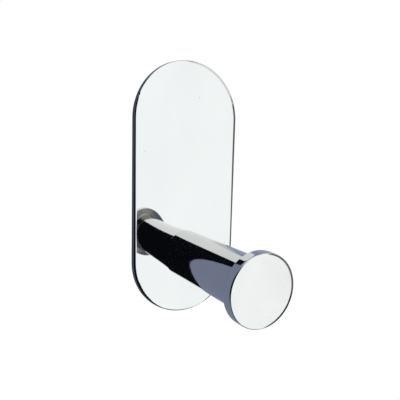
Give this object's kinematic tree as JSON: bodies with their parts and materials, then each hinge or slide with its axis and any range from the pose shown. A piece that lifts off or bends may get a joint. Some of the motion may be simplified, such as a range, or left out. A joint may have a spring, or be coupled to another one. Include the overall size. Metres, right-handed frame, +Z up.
{
  "type": "adhesive wall hook",
  "caption": "Stick-on wall hook: a polished steel back plate with round ends on a foam adhesive pad, with a straight peg that ends in a disc head to keep loops from sliding off.",
  "frame": {"origin": "centre of the adhesive face, which lies on the wall", "axes": "+Y into the wall, -Y along the peg into the room, +Z up along the plate, +X to the right for someone facing the wall"},
  "size_m": [0.03, 0.0368, 0.0668],
  "materials": {
    "foam_tape": "matt closed-cell acrylic foam",
    "polished_plate": "mirror-polished stainless steel with dull cut edges",
    "screw_steel": "plain stainless steel",
    "polished_peg": "polished turned stainless steel"
  },
  "bodies": {
    "root": {"adhesive_pad": "foam_tape", "back_plate": "polished_plate", "fixing_screw": "screw_steel", "peg": "polished_peg"}
  },
  "joints": []
}
